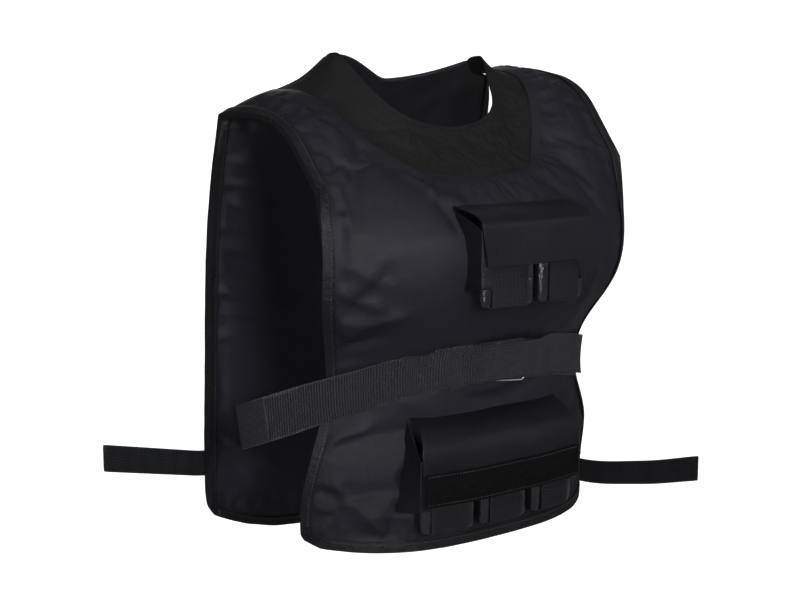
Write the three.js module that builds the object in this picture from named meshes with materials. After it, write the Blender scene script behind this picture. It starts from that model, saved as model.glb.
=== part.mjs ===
// Weighted vest: a padded front and back that hang from wide shoulder straps, open at both sides,
// with two flap pockets of weights, a waist strap and two side straps. Millimetres, +Z up.
// The front faces -Y, +X is the vest's own left, and the origin is between the shoulders.
import * as THREE from "three";

// Driving sizes of the body
const half_width = 232;
const front_reach = 210;
const front_drop = 560;
const back_reach = 186;
const back_drop = 625;
const shoulder_half_width = 218;
const neckline_half_width = 85;
const neck_hole_half_width = 116;
const neck_hole_rise = 26;
const neck_hole_reach = 76;
const left_shoulder_lift = 51;
const left_shoulder_spread = 14;
const lift_foot = 190;
const lift_span = 150;
const spread_end = 60;
const spread_span = 100;
const neck_lean = 0.19;

// Driving sizes of the cloth
const pad_thickness = 15;
const seam_thickness = 6;
const pad_shoulder = 55;
const tape_width = 11;
const tape_thickness = 1.3;
const tape_room = 1.0;
const hem_corner = 5;
const jersey_thickness = 1.6;
const rim_width = 5;
const rim_thickness = 2.6;
const webbing_thickness = 1.8;
const cloth_thickness = 1.5;
const gap = 0.3;

// Driving sizes of the weights and their pockets
const weight_width = 74;
const weight_depth = 21;
const weight_height = 97;
const weight_corner = 8;
const weight_bevel = 3;
const weight_pitch = 81;
const sling_width = 50;
const pouch_side_room = 2;
const hook_strip_height = 40;

// The two pockets. bottom is how far the weights hang below the shoulders, showing what the flap
// leaves of them, above the height of the flap's seam over their tops; splay and flare are how far
// the pouch's sides and the flap's corners stand out from the row of weights.
const chest_pocket_sizes = {
  count: 2, bottom: 259, shift: 0, showing: 47, above: 15, pouch_showing: 22,
  splay_head: 5, splay_foot: 3, flare_head: 5, flare_fold: 3, flare_foot: -4,
};
const lower_pocket_sizes = {
  count: 3, bottom: 531, shift: -3, showing: 34, above: 36, pouch_showing: 29,
  splay_head: -7, splay_foot: 14, flare_head: -10, flare_fold: 0.5, flare_foot: 1,
};

// Driving sizes of the straps
const strap_width = 54;
const strap_level = 343;
const strap_free_length = 117;
const strap_return = 38;
const strap_end_share = 0.83;
const base_start_share = -0.28;
const base_end_share = 0.78;
const base_drop = 5;
const ring_wire = 3;
const ring_width = 58;
const ring_height = 30;
const ring_corner = 5;
const ring_centre = 15;
const ring_tilt = 0.11;
const keeper_width = 24;
const keeper_height = 20;
const keeper_thickness = 1.1;
const side_strap_width = 34;
const side_strap_level = 504;
const side_strap_grip = 46;
const right_strap_length = 168;
const left_strap_length = 410;
const right_strap_seat = 0.1;
const left_strap_seat = 1.8;

// Counts of the faceted surfaces
const strap_columns = 7;
const yoke_columns = 8;
const body_rows = 16;
const strap_rows = 11;
const back_columns = 20;
const back_rows = 16;
const neckline_share = neckline_half_width / half_width;

// Tables: the first line names the columns, and each row after it is one section.
function table(names, rows) {
  const columns = names.split(" ");
  return rows.map((row) => Object.fromEntries(columns.map((name, k) => [name, row[k]])));
}

// Front, from the hem up to the neckline. drop_* are shares of front_drop, width of half_width and
// reach_* of front_reach, at the middle, in line with the neckline's corner, and at the side edge.
const front_sections = table("up drop_mid drop_in drop_edge width reach_mid reach_in reach_edge", [
  [0.0, 0.99, 0.99, 0.978, 0.958, 0.8, 0.775, 0.343],
  [0.12, 0.9, 0.898, 0.893, 0.966, 0.735, 0.717, 0.353],
  [0.24, 0.8, 0.8, 0.798, 0.945, 0.712, 0.693, 0.42],
  [0.36, 0.703, 0.703, 0.705, 0.866, 0.714, 0.692, 0.412],
  [0.44, 0.635, 0.635, 0.642, 0.846, 0.735, 0.71, 0.425],
  [0.52, 0.57, 0.57, 0.578, 0.862, 0.77, 0.742, 0.455],
  [0.6, 0.503, 0.503, 0.512, 0.937, 0.88, 0.845, 0.555],
  [0.69, 0.43, 0.43, 0.439, 0.992, 0.972, 0.935, 0.645],
  [0.8, 0.344, 0.344, 0.357, 1.0, 1.0, 0.964, 0.672],
  [0.89, 0.273, 0.271, 0.29, 0.998, 0.925, 0.883, 0.65],
  [1.0, 0.207, 0.196, 0.221, 0.986, 0.655, 0.595, 0.605],
]);

// Shoulder straps, from the neckline's corner back to the seam. out_* is the armhole edge and in_*
// the neck edge: x a share of shoulder_half_width, y of front_reach (+ is back), z of front_drop.
const strap_sections = table("back out_x out_y out_z in_x in_y in_z puff", [
  [0.0, 1.05, -0.605, -0.221, 0.391, -0.59, -0.196, 0.0],
  [0.14, 1.037, -0.46, -0.18, 0.505, -0.447, -0.163, 0.3],
  [0.3, 1.023, -0.285, -0.122, 0.596, -0.343, -0.125, 0.7],
  [0.46, 1.01, -0.085, -0.089, 0.665, -0.228, -0.086, 1.0],
  [0.64, 1.005, 0.119, -0.077, 0.725, -0.085, -0.047, 1.1],
  [0.82, 1.0, 0.333, -0.075, 0.755, 0.095, -0.027, 1.0],
  [1.0, 0.99, 0.54, -0.081, 0.761, 0.348, -0.026, 0.4],
]);
const strap_puff = 8;

// Back, from its top edge down to the hem, at five places across: the middle, the neck point, the
// dip beside it, in line with the strap's neck edge, and the side edge.
// The back's half width is a share of shoulder_half_width plus a share of half_width.
const back_places = [0, 0.53, 0.64, 0.765, 1];
const back_kinds = ["mid", "neck", "dip", "strap", "edge"];
const back_widths = table("down shoulder body", [
  [0.0, 0.99, 0.0],
  [0.1, 0.66, 0.315],
  [0.22, 0.33, 0.635],
  [0.37, 0.0, 0.962],
  [0.65, 0.0, 0.973],
  [0.85, 0.0, 0.982],
  [1.0, 0.0, 0.98],
]);
const back_drops = table("down mid neck dip strap edge", [
  [0.0, 0.001, -0.041, 0.006, 0.024, 0.073],
  [0.1, 0.082, 0.078, 0.086, 0.098, 0.135],
  [0.22, 0.208, 0.208, 0.211, 0.215, 0.224],
  [0.37, 0.368, 0.368, 0.368, 0.368, 0.368],
  [0.65, 0.64, 0.638, 0.636, 0.634, 0.625],
  [0.85, 0.84, 0.835, 0.828, 0.82, 0.78],
  [1.0, 0.995, 0.975, 0.962, 0.948, 0.905],
]);
const back_reaches = table("down mid neck dip strap edge", [
  [0.0, 0.4, 0.2, 0.3, 0.41, 0.63],
  [0.1, 0.7, 0.63, 0.64, 0.65, 0.685],
  [0.22, 0.9, 0.86, 0.835, 0.81, 0.74],
  [0.37, 0.96, 0.925, 0.9, 0.875, 0.785],
  [0.65, 0.985, 0.95, 0.93, 0.905, 0.815],
  [0.85, 0.995, 0.96, 0.94, 0.915, 0.83],
  [1.0, 1.0, 0.965, 0.945, 0.92, 0.83],
]);

// Front half of the neck hole's rim, from the side to the middle: x a share of neck_hole_half_width,
// y of neck_hole_reach, z of neck_hole_rise.
const rim_sections = table("along x y z", [
  [0.0, 1.0, 0.46, 0.96],
  [0.16, 1.0, 0.08, 0.98],
  [0.3, 0.93, -0.18, 0.2],
  [0.44, 0.85, -0.43, -0.55],
  [0.58, 0.76, -0.66, -1.2],
  [0.72, 0.6, -0.86, -1.83],
  [0.86, 0.33, -0.96, -2.3],
  [1.0, 0.0, -1.0, -2.5],
]);

// Waist strap's middle line: x a share of half_width, drop a share of strap_level.
const strap_line = table("x drop", [
  [-0.89, 1.093],
  [-0.65, 1.034],
  [-0.45, 0.997],
  [-0.1, 0.972],
  [0.25, 0.979],
  [0.55, 1.008],
  [0.89, 1.066],
]);

// The free side strap on the +X side: its heading seen from above, and how far it hangs, a share
// of the strap's hang.
const left_strap_line = table("along heading hang", [
  [0.0, -0.7, 0.0],
  [0.12, -1.0, 0.5],
  [0.4, -1.35, 1.08],
  [0.7, -1.65, 0.72],
  [1.0, -1.75, 0.08],
]);
const left_strap_hang = 58;
const right_strap_rise = 45;
const right_strap_start = 3;
const right_strap_heading = -0.28;

// Small helpers
const clamp = (value, low, high) => Math.min(high, Math.max(low, value));
const mix = (a, b, t) => a + (b - a) * t;
const ease = (t) => clamp(t, 0, 1) ** 2 * (3 - 2 * clamp(t, 0, 1));
const point = (x, y, z) => new THREE.Vector3(x, y, z);

// A smooth curve through rows of knots, keyed by one column and read from another.
function smooth(knots, values, at) {
  const last = knots.length - 1;
  const x = clamp(at, knots[0], knots[last]);
  let i = 0;
  while (i < last - 1 && x > knots[i + 1]) i += 1;
  const slope = (k) => {
    const a = Math.max(0, k - 1);
    const b = Math.min(last, k + 1);
    return (values[b] - values[a]) / (knots[b] - knots[a]);
  };
  const span = knots[i + 1] - knots[i];
  const t = (x - knots[i]) / span;
  const rise = 2 * t ** 3 - 3 * t ** 2;
  const start = (t ** 3 - 2 * t ** 2 + t) * span * slope(i);
  const end = (t ** 3 - t ** 2) * span * slope(i + 1);
  return values[i] * (1 + rise) - values[i + 1] * rise + start + end;
}
function read(rows, key, column, at) {
  return smooth(rows.map((row) => row[key]), rows.map((row) => row[column]), at);
}

// An even curve across the front through its middle, neckline and edge values.
function across(mid, inner, edge, c) {
  const q = neckline_share ** 2;
  const a = edge - mid;
  const b = inner - mid;
  const fourth = (b - a * q) / (q * q - q);
  return mid + (a - fourth) * c * c + fourth * c ** 4;
}

// The shoulder on the +X side sits higher than the other one, and lifts the cloth round it.
function settle(p) {
  const side = clamp((p.x - neck_hole_half_width) / (shoulder_half_width - neck_hole_half_width), 0, 1.1);
  const high = ease((p.z + lift_foot) / lift_span);
  p.x += left_shoulder_spread * side * high * ease((spread_end - p.y) / spread_span);
  p.z += left_shoulder_lift * side * high;
  return p;
}

// Outer skin of the front: c runs from -1 to 1 across, up from 0 at the hem to 1 at the neckline.
function frontSkin(c, up) {
  const row = (name) => read(front_sections, "up", name, up);
  const x = half_width * row("width") * c;
  const y = -front_reach * across(row("reach_mid"), row("reach_in"), row("reach_edge"), c);
  const z = -front_drop * across(row("drop_mid"), row("drop_in"), row("drop_edge"), c);
  return point(x, y, z);
}

// The front skin's point at a given x and height.
function frontAt(x, z) {
  let low = 0;
  let high = 1;
  let p = point(0, 0, 0);
  for (let k = 0; k < 30; k += 1) {
    const up = (low + high) / 2;
    p = frontSkin(x / (half_width * read(front_sections, "up", "width", up)), up);
    if (p.z < z) low = up;
    else high = up;
  }
  return p;
}
function frontNormal(x, z) {
  const step = 2;
  const along = frontAt(x + step, z).sub(frontAt(x - step, z));
  const up = frontAt(x, z + step).sub(frontAt(x, z - step));
  return along.cross(up).normalize();
}

// Outer skin of a shoulder strap: s from 0 at the armhole edge to 1 at the neck edge.
function strapSkin(side, s, back) {
  const row = (name) => read(strap_sections, "back", name, back);
  const place = (x, y, z) => point(row(x) * shoulder_half_width, row(y) * front_reach, row(z) * front_drop);
  const p = place("out_x", "out_y", "out_z").lerp(place("in_x", "in_y", "in_z"), s);
  const puff = row("puff") * strap_puff * 4 * s * (1 - s);
  const lean = ease(1 - back * 1.4);
  p.y -= puff * lean;
  p.z += puff * (1 - lean * 0.5);
  return settle(point(p.x * side, p.y, p.z));
}

// Outer skin of the back: c from -1 to 1 across, down from 0 at the top edge to 1 at the hem.
function backSkin(c, down) {
  const values = (rows) => back_kinds.map((kind) => read(rows, "down", kind, down));
  const at = (rows) => smooth(back_places, values(rows), Math.abs(c));
  const shoulder = shoulder_half_width * read(back_widths, "down", "shoulder", down);
  const width = shoulder + half_width * read(back_widths, "down", "body", down);
  const p = point(width * c, back_reach * at(back_reaches), -back_drop * at(back_drops));
  const across_neck = Math.max(0, 1 - (p.x / neck_hole_half_width) ** 2);
  p.z -= neck_lean * p.x * across_neck * ease(1 - down * 8);
  return settle(p);
}

// A closed solid from two skins over a grid. holds(i, j) says which cells it has.
function slab(columns, rows, outer, inner, holds = () => true) {
  const positions = [];
  const index = [];
  const used = new Map();
  const vertex = (skin, i, j) => {
    const key = `${skin} ${i} ${j}`;
    if (!used.has(key)) {
      used.set(key, positions.length / 3);
      const p = skin === "outer" ? outer(i, j) : inner(i, j);
      positions.push(p.x, p.y, p.z);
    }
    return used.get(key);
  };
  const quad = (a, b, c, d) => index.push(a, b, c, a, c, d);
  const has = (i, j) => i >= 0 && j >= 0 && i < columns && j < rows && holds(i, j);
  const wall = (i0, j0, i1, j1) => {
    quad(vertex("outer", i1, j1), vertex("outer", i0, j0), vertex("inner", i0, j0), vertex("inner", i1, j1));
  };
  for (let i = 0; i < columns; i += 1) {
    for (let j = 0; j < rows; j += 1) {
      if (!has(i, j)) continue;
      const ring = [[i, j], [i + 1, j], [i + 1, j + 1], [i, j + 1]];
      const corners = i < columns / 2 ? ring : [ring[1], ring[2], ring[3], ring[0]];
      quad(...corners.map(([a, b]) => vertex("outer", a, b)));
      quad(...corners.reverse().map(([a, b]) => vertex("inner", a, b)));
      if (!has(i, j - 1)) wall(i, j, i + 1, j);
      if (!has(i + 1, j)) wall(i + 1, j, i + 1, j + 1);
      if (!has(i, j + 1)) wall(i + 1, j + 1, i, j + 1);
      if (!has(i - 1, j)) wall(i, j + 1, i, j);
    }
  }
  return facingOut(positions, index);
}

// Builds the geometry, with its faces turned outwards.
function facingOut(positions, index) {
  let volume = 0;
  const at = (k) => new THREE.Vector3().fromArray(positions, index[k] * 3);
  for (let k = 0; k < index.length; k += 3) volume += at(k).dot(at(k + 1).cross(at(k + 2)));
  const geometry = new THREE.BufferGeometry();
  geometry.setAttribute("position", new THREE.Float32BufferAttribute(positions, 3));
  geometry.setIndex(volume > 0 ? index : index.slice().reverse());
  geometry.computeVertexNormals();
  return geometry;
}

// A grid of skin points with its normals and the points on the padded inside.
function padded(columns, rows, skin, holds, facing, thicknessAt, mitre = () => null) {
  const exists = (i, j) => holds(i, j) || holds(i - 1, j) || holds(i, j - 1) || holds(i - 1, j - 1);
  const grid = new Map();
  const name = (i, j) => `${i} ${j}`;
  for (let i = 0; i <= columns; i += 1) {
    for (let j = 0; j <= rows; j += 1) {
      if (exists(i, j)) grid.set(name(i, j), skin(i, j));
    }
  }
  const near = (i, j, di, dj) => grid.get(name(i + di, j + dj)) ?? grid.get(name(i, j));
  const normal = (i, j) => {
    const u = near(i, j, 1, 0).clone().sub(near(i, j, -1, 0));
    const v = near(i, j, 0, 1).clone().sub(near(i, j, 0, -1));
    return mitre(i, j) ?? u.cross(v).multiplyScalar(facing).normalize();
  };
  const outer = (i, j) => grid.get(name(i, j)).clone();
  const inner = (i, j) => outer(i, j).addScaledVector(normal(i, j), -thicknessAt(i, j));
  return { columns, rows, outer, inner, normal, holds };
}

// The front's straps and the back meet at a seam over the shoulder, cut at this lean
const seamLean = (x) => point(0.25 * Math.sign(x), 0.62, 0.75).normalize();

// Padding is thin along the seams and full a little way in. The front's rows and columns lie about
// this far apart in its body, across its straps, and along them.
const body_row_step = 28;
const strap_column_step = 12;
const strap_row_step = 20;
function paddingAt(distance) {
  return mix(seam_thickness, pad_thickness, ease((distance - tape_width) / pad_shoulder));
}

// Where the grid lines of the front lie
const front_columns = 2 * strap_columns + yoke_columns;
const front_rows = body_rows + strap_rows;
const tape_zone = tape_width + 2 * tape_thickness;
const inStrap = (i) => i < strap_columns || i >= front_columns - strap_columns;
const inGrid = (i, j, columns, rows) => i >= 0 && i < columns && j >= 0 && j < rows;
const frontHolds = (i, j) => inGrid(i, j, front_columns, front_rows) && (j < body_rows || inStrap(i));

function frontRowUp(j) {
  const first = tape_zone / (front_drop * (1 - front_sections.at(-1).drop_mid));
  return j === 0 ? 0 : mix(first, 1, (j - 1) / (body_rows - 1));
}
function strapShare(i, length) {
  const first = tape_zone / length;
  return i === 0 ? 0 : mix(first, 1, (i - 1) / (strap_columns - 1));
}
function frontNode(i, j) {
  const mirrored = i > front_columns / 2;
  const k = mirrored ? front_columns - i : i;
  const side = mirrored ? 1 : -1;
  if (j > body_rows) {
    const back = (j - body_rows) / strap_rows;
    const length = strapSkin(-1, 0, back).distanceTo(strapSkin(-1, 1, back));
    return strapSkin(side, strapShare(k, length), back);
  }
  const share = k > strap_columns
    ? mix(neckline_share, 0, (k - strap_columns) / (yoke_columns / 2))
    : mix(1, neckline_share, strapShare(k, half_width * (1 - neckline_share)));
  const p = frontSkin(side * share, frontRowUp(j));
  if (j === 0 && k === 0) {
    p.x -= side * hem_corner;
    p.z += hem_corner;
  }
  return settle(p);
}
function frontThickness(i, j) {
  const k = Math.min(i, front_columns - i);
  const fromSide = (k - 1) * ((half_width * (1 - neckline_share)) / strap_columns) + tape_width;
  const fromHem = (j - 1) * body_row_step + tape_width;
  const fromNeck = inStrap(Math.min(i, front_columns - i - 1)) || j > body_rows
    ? Math.hypot((strap_columns - k) * strap_column_step, Math.max(0, body_rows - j) * body_row_step)
    : (body_rows - j) * body_row_step;
  const fromEnd = (front_rows - j) * strap_row_step;
  return paddingAt(Math.min(fromSide, fromHem, fromNeck + tape_width * 0.5, fromEnd));
}
const frontMitre = (i, j) => (j === front_rows ? seamLean(i - front_columns / 2) : null);
const front = padded(front_columns, front_rows, frontNode, frontHolds, 1, frontThickness, frontMitre);

// Where the grid lines of the back lie
function backShare(i) {
  const first = 1 - tape_zone / half_width;
  if (i === 0) return -1;
  if (i === back_columns) return 1;
  return mix(-first, first, (i - 1) / (back_columns - 2));
}
function backRow(j) {
  const last = 1 - tape_zone / back_drop;
  return j === 0 ? 1 : mix(last, 0, (j - 1) / (back_rows - 1));
}
function backNode(i, j) {
  const p = backSkin(backShare(i), backRow(j));
  if (j === 0 && (i === 0 || i === back_columns)) {
    p.x *= 1 - hem_corner / half_width;
    p.z += hem_corner;
  }
  return p;
}
function backThickness(i, j) {
  const fromSide = (Math.min(i, back_columns - i) - 1) * ((2 * half_width) / back_columns) + tape_width;
  const fromHem = (j - 1) * (back_drop / back_rows) + tape_width;
  const fromTop = (back_rows - j) * (back_drop / back_rows);
  return paddingAt(Math.min(fromSide, fromHem, fromTop));
}
const backHolds = (i, j) => inGrid(i, j, back_columns, back_rows);
const backMitre = (i, j) => (j === back_rows ? seamLean(i - back_columns / 2) : null);
const back = padded(back_columns, back_rows, backNode, backHolds, -1, backThickness, backMitre);

// Tape folded over a panel's edge: path lists the edge's grid nodes, with the node one step in.
function foldedTape(panel, path) {
  const place = (k) => {
    const [i, j, ii, jj] = path[k];
    const edge = panel.outer(i, j);
    const under = panel.inner(i, j);
    const normal = edge.clone().sub(under).normalize();
    const top = panel.outer(ii, jj).sub(edge).normalize();
    const below = panel.inner(ii, jj).sub(under).normalize();
    return { edge, under, normal, top, below };
  };
  const section = (k, j, extra) => {
    const { edge, under, normal, top, below } = place(k);
    const out = tape_room + extra;
    const base = j < 2 ? edge : under;
    const run = j < 2 ? top : below;
    const along = j === 0 || j === 3 ? tape_width : -out;
    return base.addScaledVector(run, along).addScaledVector(normal, j < 2 ? out : -out);
  };
  return slab(path.length - 1, 3, (k, j) => section(k, j, 0), (k, j) => section(k, j, tape_thickness));
}
function edgePath(columns, rows) {
  const path = [];
  for (let j = rows; j > 0; j -= 1) path.push([0, j, 1, j]);
  path.push([0, 0, 1, 1]);
  for (let i = 1; i < columns; i += 1) path.push([i, 0, i, 1]);
  path.push([columns, 0, columns - 1, 1]);
  for (let j = 1; j <= rows; j += 1) path.push([columns, j, columns - 1, j]);
  return path;
}

// Neck insert, from the padded neckline up to the rim of the neck hole
const insert_rows = 4;
const insert_sag = 4;
function necklineNodes() {
  const nodes = [];
  const far = front_columns - strap_columns;
  for (let j = front_rows; j > body_rows; j -= 1) nodes.push([strap_columns, j, strap_columns - 1, j]);
  for (let i = strap_columns; i <= far; i += 1) nodes.push([i, body_rows, i, body_rows - 1]);
  for (let j = body_rows + 1; j <= front_rows; j += 1) nodes.push([far, j, far + 1, j]);
  return nodes;
}
const neckline = necklineNodes();
function rimPoint(share) {
  const half = 1 - Math.abs(2 * share - 1);
  const side = share < 0.5 ? -1 : 1;
  const row = (name) => read(rim_sections, "along", name, half);
  return point(side * row("x") * neck_hole_half_width, row("y") * neck_hole_reach, row("z") * neck_hole_rise);
}
function insertEdge(k) {
  const [i, j, ii, jj] = neckline[k];
  const middle = front.outer(i, j).lerp(front.inner(i, j), 0.5);
  const away = front.outer(i, j).sub(front.outer(ii, jj)).normalize();
  return middle.addScaledVector(away, 2 * gap + jersey_thickness / 2);
}
const seam_step = 2.5;
function insertPoint(k, j) {
  const t = j / insert_rows;
  if (k === 0 || k === neckline.length - 1) {
    const c = mix(back_places[3] - 0.012, back_places[1], t) * (k === 0 ? -1 : 1);
    return backSkin(c, 0).add(point(0, -seam_step, 0));
  }
  const from = insertEdge(k);
  const to = rimPoint(k / (neckline.length - 1));
  const sag = Math.sin(Math.PI * t) * insert_sag;
  return from.lerp(to, t).add(point(0, sag, -sag));
}
const insert = padded(
  neckline.length - 1, insert_rows, insertPoint,
  (i, j) => inGrid(i, j, neckline.length - 1, insert_rows), 1, () => jersey_thickness,
  (k) => (k === 0 || k === neckline.length - 1 ? seamLean(k - 1) : null),
);
function rimStrip() {
  const last = insert_rows;
  const along = (k) => {
    const top = insert.outer(k, last);
    const up = top.clone().sub(insert.outer(k, last - 1)).normalize();
    return { top, up, normal: insert.normal(k, last) };
  };
  const place = (k, j, depth) => {
    const { top, up, normal } = along(k);
    return top.addScaledVector(up, 2 * gap + j * rim_width).addScaledVector(normal, depth);
  };
  const extra = (rim_thickness - jersey_thickness) / 2;
  const under = -jersey_thickness - extra;
  return slab(neckline.length - 1, 1, (k, j) => place(k, j, extra), (k, j) => place(k, j, under));
}

// A rounded bar, standing on end with its broad face to the front
function weightBar() {
  const w = weight_width / 2 - weight_bevel;
  const d = weight_depth / 2 - weight_bevel;
  const r = weight_corner - weight_bevel;
  const outline = new THREE.Shape();
  outline.moveTo(-w + r, -d);
  outline.lineTo(w - r, -d);
  outline.absarc(w - r, -d + r, r, -Math.PI / 2, 0);
  outline.lineTo(w, d - r);
  outline.absarc(w - r, d - r, r, 0, Math.PI / 2);
  outline.lineTo(-w + r, d);
  outline.absarc(-w + r, d - r, r, Math.PI / 2, Math.PI);
  outline.lineTo(-w, -d + r);
  outline.absarc(-w + r, -d + r, r, Math.PI, Math.PI * 1.5);
  return new THREE.ExtrudeGeometry(outline, {
    depth: weight_height - 2 * weight_bevel, bevelThickness: weight_bevel, bevelSize: weight_bevel,
    bevelSegments: 1, curveSegments: 3,
  }).translate(0, 0, weight_bevel);
}

// A row of weights on the front: where each one stands, clear of the cloth behind it
const sling_slack = 0.6;
const sling_room = webbing_thickness + 2 * gap + sling_slack;
const seat_levels = [0.02, 0.25, 0.5, 0.75, 0.98];
function weightPlaces({ count, bottom, shift }) {
  const places = [];
  for (let k = 0; k < count; k += 1) {
    const x = (k - (count - 1) / 2) * weight_pitch + shift;
    const levels = seat_levels.map((t) => -bottom + t * weight_height);
    const reachAt = (dx) => Math.min(...levels.map((z) => frontAt(x + dx, z).y));
    const half = weight_width / 2;
    const turn = Math.atan2(reachAt(half) - reachAt(-half), weight_width);
    const bulge = Math.max(0, (reachAt(half) + reachAt(-half)) / 2 - reachAt(0));
    const face = (reachAt(half) + reachAt(-half)) / 2 - bulge - sling_room;
    places.push({ x, y: face - weight_depth / 2, z: -bottom, turn });
  }
  return places;
}

// A webbing loop down the front of a weight, under it and up behind it
const sling_front_height = 66;
const sling_back_height = 40;
function sling() {
  const d = weight_depth / 2 + gap;
  const r = weight_bevel;
  const bend = r * 0.3;
  const path = [
    [-d, sling_front_height], [-d, sling_front_height / 2], [-d, r], [-d + bend, bend - gap],
    [-d + r + gap, -gap], [d - r - gap, -gap], [d - bend, bend - gap], [d, r], [d, sling_back_height],
  ];
  const offset = (k, amount) => {
    const a = path[Math.max(0, k - 1)];
    const b = path[Math.min(path.length - 1, k + 1)];
    const run = new THREE.Vector2(b[0] - a[0], b[1] - a[1]).normalize();
    return new THREE.Vector2(path[k][0] + run.y * amount, path[k][1] - run.x * amount);
  };
  const at = (k, j, amount) => {
    const p = offset(k, amount);
    return point((j - 0.5) * sling_width, p.x, p.y);
  };
  return slab(path.length - 1, 1, (k, j) => at(k, j, webbing_thickness), (k, j) => at(k, j, 0));
}

// A pocket round a row of weights: the front of the row, taken through the corners of its weights
function pocketShape(sizes) {
  const places = weightPlaces(sizes);
  const half = ((places.length - 1) * weight_pitch + weight_width) / 2;
  const top = sizes.bottom - weight_height;
  const corners = places.flatMap(({ x, y, turn }) => [-1, 1].map((side) => {
    const run = (side * weight_width) / 2;
    const front = weight_depth / 2 + webbing_thickness + gap;
    return {
      x: x + run * Math.cos(turn) + front * Math.sin(turn),
      y: y + run * Math.sin(turn) - front * Math.cos(turn),
    };
  }));
  const faceAt = (x) => {
    let k = 0;
    while (k < corners.length - 2 && x > corners[k + 1].x) k += 1;
    const [a, b] = [corners[k], corners[k + 1]];
    return a.y + ((b.y - a.y) * (x - a.x)) / (b.x - a.x) - gap;
  };
  return { ...sizes, places, half, top, seam: top - sizes.above, foot: sizes.bottom - sizes.showing, faceAt };
}
const chest_pocket = pocketShape(chest_pocket_sizes);
const lower_pocket = pocketShape(lower_pocket_sizes);

// The pocket's wall: from the front out round the weights and back, as a strip of cloth. Between its
// corners its lower edge stays behind the flap, so that the weights show.
const gusset_steps = 4;
const face_steps = 14;
const corner_round = 3.5;
const corner_reach = 6;
const wall_room = 1.8;
const pouch_rows = 4;
const pouch_sewn = 4;
const pouch_tucked = 8;
const side_rise = 5;
const lip_room = 6;
function pouch(pocket) {
  const { half, top, seam, foot, faceAt, shift } = pocket;
  const columns = 2 * gusset_steps + face_steps;
  const reach = half + pouch_side_room + cloth_thickness;
  const below = pocket.bottom - pocket.pouch_showing;
  const walk = (i) => {
    if (i >= gusset_steps && i <= columns - gusset_steps) {
      const k = i - gusset_steps;
      const lip = (weight_width - sling_width) / 2;
      const inner = mix(-1, 1, (k - 1) / (face_steps - 2)) * (1 - lip / reach);
      const share = k === 0 || k === face_steps ? Math.sign(k - 1) : inner;
      const corner = Math.abs(share) * reach > reach - lip - 1;
      const round = ease((Math.abs(share) * reach - reach) / corner_reach + 1);
      return { share, forward: 1, side: 0, corner, round };
    }
    const k = i < gusset_steps ? i : columns - i;
    const forward = k / gusset_steps;
    return { share: i < gusset_steps ? -1 : 1, forward, side: 1 - forward, corner: true, round: forward };
  };
  const at = (i, j, inset) => {
    const { share, forward, side, corner, round } = walk(i);
    const head = mix(seam + pouch_sewn, top + pouch_tucked, forward);
    const low = corner ? below + side_rise * side : Math.min(below, foot - lip_room);
    const z = -mix(low, head, j / pouch_rows);
    const splay = mix(pocket.splay_foot, pocket.splay_head, j / pouch_rows) * side;
    const x = share * (reach - inset + splay);
    const body = frontAt(x + shift, z).y - wall_room;
    const face = faceAt(x + shift) - gap - (cloth_thickness - inset) + round * corner_round;
    return point(x + shift, mix(body, face, forward), z);
  };
  return slab(columns, pouch_rows, (i, j) => at(i, j, 0), (i, j) => at(i, j, cloth_thickness));
}

// The flap: sewn to the front above the weights, over their tops and down before them. The rows of
// its fold: drop is a share of its rise above the weights, out of its reach over them.
const flap_fold = [
  { drop: 0, out: 0 },
  { drop: 0.1, out: 0.22 },
  { drop: 0.3, out: 0.55 },
  { drop: 0.6, out: 0.85 },
  { drop: 1.0, out: 0.98 },
  { drop: 1.35, out: 1.0 },
];
const flap_columns = 12;
function flapFace(pocket, x) {
  return pocket.faceAt(x) - cloth_thickness - 4 * gap;
}
function flap(pocket) {
  const { half, top, seam, foot, above, shift } = pocket;
  const hang_rows = 3;
  const fold = flap_fold.length - 1;
  const rows = fold + hang_rows;
  const at = (i, j, lift) => {
    const share = (i / flap_columns) * 2 - 1;
    const row = flap_fold[Math.min(j, fold)];
    const turned = seam + row.drop * above;
    const drop = j <= fold ? turned : mix(turned, foot, (j - fold) / hang_rows);
    const folded = mix(pocket.flare_head, pocket.flare_fold, ease((drop - seam) / above));
    const flare = mix(folded, pocket.flare_foot, ease((drop - top) / (foot - top)));
    const x = share * (half + pouch_side_room + cloth_thickness + flare) + shift;
    const body = frontAt(x, -drop).y - wall_room;
    const steep = 1 - ease((row.out - 0.5) / 0.5);
    return point(x, mix(body, flapFace(pocket, x), row.out) - lift * (1 - steep * 0.6), -drop + lift * steep);
  };
  return slab(flap_columns, rows, (i, j) => at(i, j, cloth_thickness), (i, j) => at(i, j, 0));
}

// The hook strip along the lower edge of the lower pocket's flap
const strip_inset = 1;
function hookStrip(pocket) {
  const reach = pocket.half + pouch_side_room + cloth_thickness + pocket.flare_foot - strip_inset;
  const at = (i, j, depth) => {
    const x = mix(-reach, reach, i / flap_columns) + pocket.shift;
    const y = flapFace(pocket, x) - cloth_thickness - 2 * gap;
    return point(x, y - depth, -(pocket.foot - strip_inset) + j * hook_strip_height);
  };
  return slab(flap_columns, 1, (i, j) => at(i, j, cloth_thickness), (i, j) => at(i, j, 0));
}

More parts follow.
